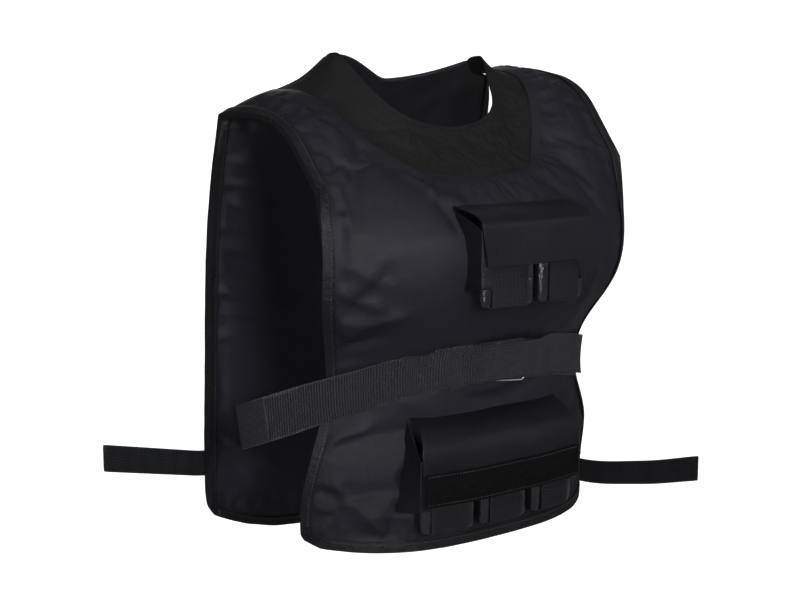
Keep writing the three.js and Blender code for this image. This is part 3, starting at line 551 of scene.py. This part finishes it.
def edge_points(node, step=0.003):
    """Points at even steps round a panel's edge, with the length walked so far at each."""
    places, lengths, start = [], [], 0.0
    for chain in wall_chains(node):
        points = np.array([tuple(centre) for centre, _, _ in chain])
        gaps = np.linalg.norm(np.diff(points, axis=0), axis=1)
        walked = np.concatenate([[0], np.cumsum(gaps)])
        at = np.arange(0, walked[-1], step)
        places.append(np.stack([np.interp(at, walked, points[:, k]) for k in range(3)], axis=1))
        lengths.append(at + start)
        start += walked[-1]
    return np.vstack(places), np.concatenate(lengths)


def nearest_on(points):
    tree = KDTree(len(points))
    for k, p in enumerate(points):
        tree.insert(p, k)
    tree.balance()
    return tree


def reach_to(tree, points):
    found = [tree.find(p) for p in points]
    return np.array([f[2] for f in found]), np.array([f[1] for f in found])


def around(nodes):
    """One surface of all the named nodes, to keep cloth clear of them."""
    points, faces = [], []
    for node in nodes:
        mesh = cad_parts[node].data
        start = len(points)
        points.extend(v.co.copy() for v in mesh.vertices)
        faces.extend([start + k for k in p.vertices] for p in mesh.polygons)
    return BVHTree.FromPolygons(points, faces)


def room(points, directions, tree):
    """How far each point may move along its direction before it meets the surface."""
    free = np.full(len(points), PUSH_MOST)
    for k, (p, d) in enumerate(zip(points, directions)):
        hit = tree.ray_cast(Vector(p), Vector(d), PUSH_MOST + CLEAR)
        if hit[3] is not None:
            free[k] = max(0.0, hit[3] - CLEAR)
    return free


def swell(obj, pins):
    """Lets air pressure fill the pad out between its pinned seams, then keeps the result."""
    start = coords(obj.data)
    group = obj.vertex_groups.new(name="seams")
    for level in range(1, 11):
        chosen = np.nonzero(np.round(pins * 10) == level)[0].tolist()
        if chosen:
            group.add(chosen, level / 10, "REPLACE")
    cloth = obj.modifiers.new("filling", "CLOTH")
    settings = cloth.settings
    settings.quality = 5
    settings.mass = 0.3
    settings.tension_stiffness = 15
    settings.compression_stiffness = 15
    settings.shear_stiffness = 5
    settings.bending_stiffness = 0.6
    settings.use_pressure = True
    settings.uniform_pressure_force = PRESSURE
    settings.shrink_min = -FILL_SPREAD
    settings.vertex_group_mass = "seams"
    settings.pin_stiffness = 1.0
    settings.effector_weights.gravity = 0
    cloth.collision_settings.use_collision = False
    cloth.collision_settings.use_self_collision = False
    cloth.point_cache.frame_start = 1
    cloth.point_cache.frame_end = PRESSURE_FRAMES
    scene = bpy.context.scene
    for step in range(1, PRESSURE_FRAMES + 1):
        scene.frame_set(step)
    baked(obj)
    scene.frame_set(1)
    obj.vertex_groups.clear()
    moved = coords(obj.data) - start
    size = np.linalg.norm(moved, axis=1, keepdims=True)
    put(obj.data, start + moved * np.minimum(1, FILL_MOST / np.maximum(size, 1e-9)))


def hold_clear(before, after, direction, free):
    """Moves only as far outward as there is room."""
    moved = after - before
    outward = (moved * direction).sum(axis=1)
    over = np.maximum(0, outward - free)
    return after - direction * over[:, None]


def fold(points, a, b, width, height, end=0.35):
    """Height of one fold of cloth, seen from the front from a to b, fading at both ends."""
    a, b = np.array(a), np.array(b)
    flat = points[:, [0, 2]]
    run = b - a
    share = ((flat - a) @ run) / (run @ run)
    foot = a + np.clip(share, 0, 1)[:, None] * run
    gap = np.linalg.norm(flat - foot, axis=1)
    fade = ease((share + 0.05) / end) * ease((1.05 - share) / end)
    return FOLD_RISE * height * np.exp(-((gap / width) ** 1.5)) * fade


def wavy(points, scale, seed):
    return np.array([noise.noise(Vector(p) * scale + Vector((seed, seed * 0.37, 0))) for p in points])


def pad(node, name, folds, obstacles):
    """A padded panel: swollen between its bound edges, gathered beside them, with its own folds."""
    edge, walked = edge_points(node)
    bm = quad_cage(node)
    crease(bm, 0.7, SEAM_TURN)
    mesh = bpy.data.meshes.new(name)
    bm.to_mesh(mesh)
    bm.free()
    obj = finer(mesh_object(name, mesh), 2)
    seams = nearest_on(edge)
    blockers = around(obstacles)
    points, facing = coords(obj.data), normals(obj.data)
    gap, _ = reach_to(seams, points)
    pins = 1 - ease((gap - TAPE_WIDTH) / PIN_FADE)
    swell(obj, pins)
    free = room(points, facing, blockers)
    put(obj.data, hold_clear(points, coords(obj.data), facing, free))
    finer(obj, 1)
    points, facing = coords(obj.data), normals(obj.data)
    gap, nearest = reach_to(seams, points)
    free = room(points, facing, blockers)
    inner = ease((gap - TAPE_WIDTH * 0.8) / SEAM_FADE)
    out = np.zeros(len(points))
    s = walked[nearest]
    for spacing, height, width, seed in PUCKERS:
        phase = np.array([noise.noise(Vector((v / spacing, seed, 0))) for v in s])
        tuck = np.exp(-(((gap - PUCKER_LINE) / width) ** 2))
        out += height * phase * tuck
    for a, b, width, height in folds:
        out += fold(points, a, b, width, height)
    for scale, height, seed in GATHERS:
        out += height * wavy(points * np.array([1, 1, 0.55]), scale, seed)
    out *= inner
    out = np.where(out > 0, np.minimum(out, free), out)
    put(obj.data, coords(obj.data) + facing * out[:, None])
    smooth_shade(obj, PAD_SHARP)
    dress(obj, node, shell_cloth)
    return obj, edge


# Puckers as (spacing, height, width, seed), and gathers as (scale, height, seed)
PUCKERS = [(0.012, 0.0034, 0.013, 1.3), (0.026, 0.0036, 0.03, 7.7)]
GATHERS = [(7.0, 0.002, 3.1), (20.0, 0.0005, 9.4)]

front_nodes = [
    "strap_base",
    "waist_strap",
    "chest_pouch",
    "chest_flap",
    "lower_pouch",
    "lower_flap",
    "neck_insert",
    *[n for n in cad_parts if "_weight_" in n or "_sling_" in n],
]
# Folds as (from, to) places seen from the front, then width and height
FRONT_FOLDS = [
    ((-0.118, -0.104), (-0.08, -0.152), 0.006, 0.0042),
    ((-0.105, -0.13), (-0.06, -0.15), 0.006, 0.003),
    ((-0.225, -0.2), (-0.165, -0.235), 0.009, 0.003),
    ((-0.228, -0.235), (-0.16, -0.262), 0.007, 0.0034),
    ((-0.226, -0.288), (-0.13, -0.262), 0.008, 0.0046),
    ((-0.22, -0.318), (-0.15, -0.292), 0.006, -0.003),
    ((-0.215, -0.262), (-0.18, -0.3), 0.006, 0.003),
    ((0.13, -0.215), (0.124, -0.285), 0.007, 0.0042),
    ((0.165, -0.2), (0.17, -0.28), 0.01, -0.003),
    ((0.012, -0.118), (0.016, -0.148), 0.003, -0.002),
    ((-0.215, -0.425), (-0.15, -0.405), 0.008, 0.0042),
    ((-0.21, -0.455), (-0.15, -0.535), 0.008, 0.004),
    ((-0.2, -0.5), (-0.145, -0.487), 0.006, 0.003),
    ((-0.19, -0.54), (-0.11, -0.545), 0.007, -0.003),
    ((-0.06, -0.538), (0.05, -0.545), 0.006, 0.0028),
    ((0.14, -0.44), (0.15, -0.52), 0.008, 0.0035),
]
BACK_FOLDS = [
    *[
        ((-0.222, -0.1 - 0.028 * k), (-0.15 + 0.02 * (k % 3), -0.112 - 0.029 * k), 0.0045, 0.0044)
        for k in range(9)
    ],
    *[
        ((0.222, -0.14 - 0.041 * k), (0.13 + 0.02 * (k % 2), -0.15 - 0.042 * k), 0.006, 0.0032)
        for k in range(10)
    ],
    ((-0.2, -0.47), (-0.1, -0.54), 0.01, 0.004),
    ((-0.19, -0.56), (-0.08, -0.575), 0.01, -0.003),
    ((0.06, -0.12), (0.12, -0.2), 0.012, 0.003),
]

front_pad, front_edge = pad("front_panel", "front_pad", FRONT_FOLDS, front_nodes)
back_nodes = ["side_strap_left", "side_strap_right", "neck_insert"]
back_pad, back_edge = pad("back_panel", "back_pad", BACK_FOLDS, back_nodes)


# Tape, webbing and pocket cloth


def lay_out(obj, along, over):
    """Lays the piece's threads: along and over give each point's place on the flat strip."""
    mesh = obj.data
    layer = mesh.uv_layers.new(name="lay")
    points = coords(mesh)
    flat = np.stack([along(points), over(points)], axis=1)
    corner = np.empty(len(mesh.loops), dtype=np.int64)
    mesh.loops.foreach_get("vertex_index", corner)
    layer.data.foreach_set("uv", flat[corner].ravel())
    return obj


def middle_line(points, key, steps=40):
    """How far along a strip each key value lies, and the height of the strip's middle there."""
    k = key(points)
    marks = np.linspace(k.min(), k.max(), steps)
    middle = []
    for mark in marks:
        near = points[np.argsort(np.abs(k - mark))[:24]]
        middle.append((near.max(axis=0) + near.min(axis=0)) / 2)
    middle = np.array(middle)
    walked = np.concatenate([[0], np.cumsum(np.linalg.norm(np.diff(middle[:, :2], axis=0), axis=1))])
    return marks, walked, middle[:, 2]


def lay_strip(obj, key):
    marks, walked, level = middle_line(coords(obj.data), key)
    return lay_out(
        obj,
        lambda p: np.interp(key(p), marks, walked),
        lambda p: p[:, 2] - np.interp(key(p), marks, level),
    )


def ripple(obj, height, scale, seed, fixed=None, stretch=(1, 1, 1)):
    """Gives thin cloth a slight uneven lie."""
    points = coords(obj.data)
    lift = height * wavy(points * np.array(stretch), scale, seed)
    if fixed is not None:
        lift *= fixed(points)
    put(obj.data, points + normals(obj.data) * lift[:, None])
    return obj


def tape(node, name):
    """Binding folded over a panel's edge."""
    obj = rounded(node, name, edge=0.55)
    ripple(obj, 0.0003, 60.0, 2.2)
    dress(obj, node, binding_tape)
    return obj


front_tape = tape("front_binding", "front_tape")
back_tape = tape("back_binding", "back_tape")


def cloth_piece(node, name, finish):
    obj = rounded(node, name)
    dress(obj, node, finish)
    return obj


def ribbon(node, name, finish, key):
    """A length of webbing, with its threads laid along the strip."""
    obj = rounded(node, name)
    lay_strip(obj, key)
    dress(obj, node, finish)
    return obj


def across_x(p):
    return p[:, 0]


def round_left(p):
    return 0.3 * p[:, 0] - p[:, 1]


base = ribbon("strap_base", "strap_base_webbing", wide_webbing, across_x)
waist = ribbon("waist_strap", "waist_webbing", wide_webbing, across_x)
cloth_piece("strap_tip_patch", "strap_tip", tip_cloth)
keeper = cloth_piece("ring_keeper", "ring_band", sling_webbing)
lay_out(keeper, lambda p: p[:, 2], across_x)
ribbon("side_strap_right", "right_webbing", side_webbing, across_x)
ribbon("side_strap_left", "left_webbing", side_webbing, round_left)


def tuck_in(obj, edge, reach, depth):
    """Slips a piece's border a little way into the seam of the panel it is sewn to."""
    points = coords(obj.data)
    gap, nearest = reach_to(nearest_on(edge), points)
    toward = edge[nearest] - points
    step = np.minimum(depth * ease(1 - gap / reach), gap + 0.001)
    put(obj.data, points + toward / np.maximum(gap, 1e-6)[:, None] * step[:, None])


def lip_of(panel, edge, reach=0.007):
    """The points of a panel's surface that lie at its edge."""
    points = coords(panel.data)
    gap, _ = reach_to(nearest_on(edge), points)
    return points[gap < reach]


def below_rim(p):
    return ease((-0.004 - (p[:, 2] - 0.02)) / 0.03)


front_lip = lip_of(front_pad, front_edge)
back_lip = lip_of(back_pad, back_edge)
collar = rounded("neck_insert", "neck_collar", levels=3)
tuck_in(collar, front_lip, 0.016, 0.008)
tuck_in(collar, back_lip, 0.014, 0.006)
ripple(collar, 0.0035, 16.0, 4.4, below_rim)
ripple(collar, 0.0034, 30.0, 8.1, below_rim, (0.45, 0.45, 1.5))
dress(collar, "neck_insert", jersey)
collar_rim = rounded("neck_rim", "neck_rim_band", edge=0.3)
tuck_in(collar_rim, coords(collar.data), 0.01, 0.0018)
tuck_in(collar_rim, back_lip, 0.014, 0.006)
dress(collar_rim, "neck_rim", jersey)


def pocket_cloth(node, name, seed):
    """A pouch or flap of thin cloth, folded from one cut."""
    obj = rounded(node, name, levels=3, edge=0.8)
    ripple(obj, 0.0007, 24.0, seed)
    dress(obj, node, flap_cloth)
    return obj


pocket_cloth("chest_pouch", "chest_pouch_cloth", 2.0)
pocket_cloth("lower_pouch", "lower_pouch_cloth", 3.0)
pocket_cloth("chest_flap", "chest_flap_cloth", 4.0)
lower_flap = pocket_cloth("lower_flap", "lower_flap_cloth", 5.0)
hooks = cloth_piece("lower_hook_strip", "hook_strip", hook_tape)


# Weights and the webbing that carries them


def weight(node, name, seed):
    """A heavy bar in a glossy skin, a little crowned and dented."""
    obj = rounded(node, name, edge=0.25, angle=math.radians(30))
    points = coords(obj.data)
    low, high = points.min(axis=0), points.max(axis=0)
    middle = (low + high) / 2
    inset = 1 - np.abs((points - middle) / np.maximum(high - middle, 1e-6)).max(axis=1)
    dent = -0.0009 * np.clip(wavy(points, 38.0, seed), 0, 1) * ease(inset / 0.2 + 0.4)
    put(obj.data, points + normals(obj.data) * dent[:, None])
    dress(obj, node, weight_skin)
    return obj


for pocket, count in (("chest", 2), ("lower", 3)):
    for k in range(1, count + 1):
        bar = weight(f"{pocket}_weight_{k}", f"{pocket}_bar_{k}", k * 1.7 + count)
        sling_node = f"{pocket}_sling_{k}"
        sling = rounded(sling_node, f"{pocket}_loop_{k}")
        mid_x = sum(c[0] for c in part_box(sling_node)) / 2
        lay_out(sling, lambda p: p[:, 2] + p[:, 1], lambda p, m=mid_x: p[:, 0] - m)
        dress(sling, sling_node, sling_webbing)

ring = rounded("strap_ring", "ring", edge=0.0, angle=math.pi)
dress(ring, "strap_ring", ring_steel)


# Stitching: short raised threads in rows


def surface_of(obj):
    mesh = obj.data
    return BVHTree.FromPolygons([v.co for v in mesh.vertices], [p.vertices for p in mesh.polygons])


def walk(points, pitch):
    gaps = np.linalg.norm(np.diff(points, axis=0), axis=1)
    walked = np.concatenate([[0], np.cumsum(gaps)])
    count = max(2, int(walked[-1] / pitch))
    at = (np.arange(count) + 0.5) * walked[-1] / count
    return np.stack([np.interp(at, walked, points[:, k]) for k in range(3)], axis=1)


def one_stitch(bm, centre, run, normal, length, size):
    side = run.cross(normal).normalized()
    rings = []
    for share, wide in ((-0.5, 0.35), (-0.3, 1.0), (0.3, 1.0), (0.5, 0.35)):
        c = centre + run * (share * length)
        ring = []
        for k in range(5):
            angle = math.pi * k / 4
            lift = math.sin(angle) * size * wide
            ring.append(bm.verts.new(c + side * (math.cos(angle) * size * wide) + normal * (lift + 0.00005)))
        rings.append(ring)
    for a, b in zip(rings, rings[1:]):
        for k in range(4):
            bm.faces.new((a[k], a[k + 1], b[k + 1], b[k]))


def sew(name, on, routes, pitch=STITCH_PITCH, length=STITCH_LENGTH, size=THREAD):
    """Rows of stitches on a piece, each route snapped to its surface."""
    surfaces = surface_of(on)
    bm = bmesh.new()
    for route in routes:
        spots = walk(np.array(route, float), pitch)
        for k, spot in enumerate(spots):
            after = spots[min(k + 1, len(spots) - 1)]
            before = spots[max(k - 1, 0)]
            place, normal, _, gap = surfaces.find_nearest(Vector(spot))
            if place is None or gap > STITCH_SNAP:
                continue
            run = Vector(after - before)
            run -= normal * run.dot(normal)
            if run.length < 1e-6:
                continue
            one_stitch(bm, place, run.normalized(), normal, length, size)
    mesh = bpy.data.meshes.new(name)
    bm.to_mesh(mesh)
    bm.free()
    mesh.shade_smooth()
    obj = mesh_object(name, mesh)
    obj.data.materials.append(thread)
    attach(obj, "root")
    return obj


def sew_tape(name, obj, panel_node):
    rows = []
    for chain in wall_chains(panel_node):
        for sign in (1, -1):
            row = [c + into * TAPE_STITCH + up * (sign * TAPE_LIFT) for c, into, up in chain]
            rows.append([tuple(p) for p in row])
    return sew(name, obj, rows)


sew_tape("front_tape_stitches", front_tape, "front_panel")
sew_tape("back_tape_stitches", back_tape, "back_panel")


def level_row(piece, x0, x1, z, y=-0.3, steps=30):
    """A route across the front of a piece at one height."""
    surface = surface_of(piece)
    route = []
    for x in np.linspace(x0, x1, steps):
        hit = surface.ray_cast(Vector((x, y, z)), Vector((0, 1, 0)))
        if hit[0] is not None:
            route.append(tuple(hit[0]))
    return route


def box_of(node, inset):
    low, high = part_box(node)
    return low[0] + inset, high[0] - inset, low[2] + inset, high[2] - inset


x0, x1, z0, z1 = box_of("lower_hook_strip", 0.003)
sew("hook_strip_stitches", hooks, [level_row(hooks, x0, x1, z1), level_row(hooks, x0, x1, z0)], size=0.00045)


# Floor, backdrop, light and camera


def make_stage():
    profile = [(-6.0, FLOOR_LEVEL)]
    for k in range(13):
        angle = math.pi / 2 * k / 12
        profile.append((1.6 + math.sin(angle) * 1.2, FLOOR_LEVEL + 1.2 - math.cos(angle) * 1.2))
    profile.append((2.8, 4.5))
    bm = bmesh.new()
    across = Vector((math.cos(-math.radians(37)), math.sin(-math.radians(37)), 0))
    ahead = Vector((-across.y, across.x, 0))
    rows = []
    for run, rise in profile:
        rows.append([bm.verts.new(ahead * run + across * side + Vector((0, 0, rise))) for side in (-7, 7)])
    for a, b in zip(rows, rows[1:]):
        bm.faces.new((a[0], a[1], b[1], b[0]))
    mesh = bpy.data.meshes.new("backdrop")
    bm.to_mesh(mesh)
    bm.free()
    mesh.shade_smooth()
    obj = mesh_object("backdrop", mesh)
    paper, n, shader = material("backdrop paper", (0.6, 0.6, 0.6), 0.9, specular=0.2)
    place = n.add("ShaderNodeTexCoord").outputs["Object"]
    tone = n.mix(n.noise(place, 1.5), (0.5, 0.5, 0.505, 1), (0.54, 0.54, 0.545, 1))
    n.feed(shader.inputs["Base Color"], tone)
    shader.inputs["Emission Color"].default_value = (1, 1, 1, 1)
    seen = n.add("ShaderNodeLightPath").outputs["Is Camera Ray"]
    n.feed(shader.inputs["Emission Strength"], n.math("MULTIPLY", seen, PAPER_GLOW))
    obj.data.materials.append(paper)


def area_light(name, place, aim, size, power, spread=180):
    data = bpy.data.lights.new(name, "AREA")
    data.shape = "RECTANGLE"
    data.size, data.size_y = size
    data.energy = power
    data.spread = math.radians(spread)
    obj = linked(bpy.data.objects.new(name, data))
    obj.location = place
    obj.rotation_euler = (Vector(aim) - Vector(place)).to_track_quat("-Z", "Y").to_euler()
    return obj


make_stage()
centre = (0.0, 0.0, -0.3)
area_light("key", (-0.85, -2.7, 0.6), (-0.08, -0.1, -0.12), (0.8, 0.7), 1.3, spread=27)
area_light("fill", (1.8, -2.2, 0.4), centre, (0.8, 1.4), 6)
area_light("side", (-2.4, -1.9, -0.1), (0.0, 0.1, -0.3), (1.0, 1.4), 21)
area_light("top", (-0.3, -1.4, 2.2), centre, (1.2, 0.8), 10)
area_light("behind", (1.4, 2.2, 0.8), centre, (1.6, 1.2), 10)

world = bpy.data.worlds.new("studio")
world.use_nodes = True
sky = Nodes(world.node_tree)
studio_glow = world.node_tree.nodes["Background"]
studio_glow.inputs[0].default_value = (1.0, 1.0, 1.0, 1)
direct = sky.add("ShaderNodeLightPath").outputs["Is Camera Ray"]
sky.feed(studio_glow.inputs[1], sky.mapped(direct, 0.0, 1.0, WORLD_GLOW, PAPER_GLOW))
bpy.context.scene.world = world
bpy.context.scene.view_settings.view_transform = "Standard"

lens = bpy.data.cameras.new("camera")
lens.lens = CAMERA_LENS
lens.sensor_width = CAMERA_SENSOR
lens.sensor_fit = "HORIZONTAL"
lens.shift_x = CAMERA_SHIFT
camera = linked(bpy.data.objects.new("camera", lens))
camera.location = CAMERA_EYE
camera.rotation_euler = (Vector(CAMERA_AIM) - Vector(CAMERA_EYE)).to_track_quat("-Z", "Y").to_euler()
bpy.context.scene.camera = camera
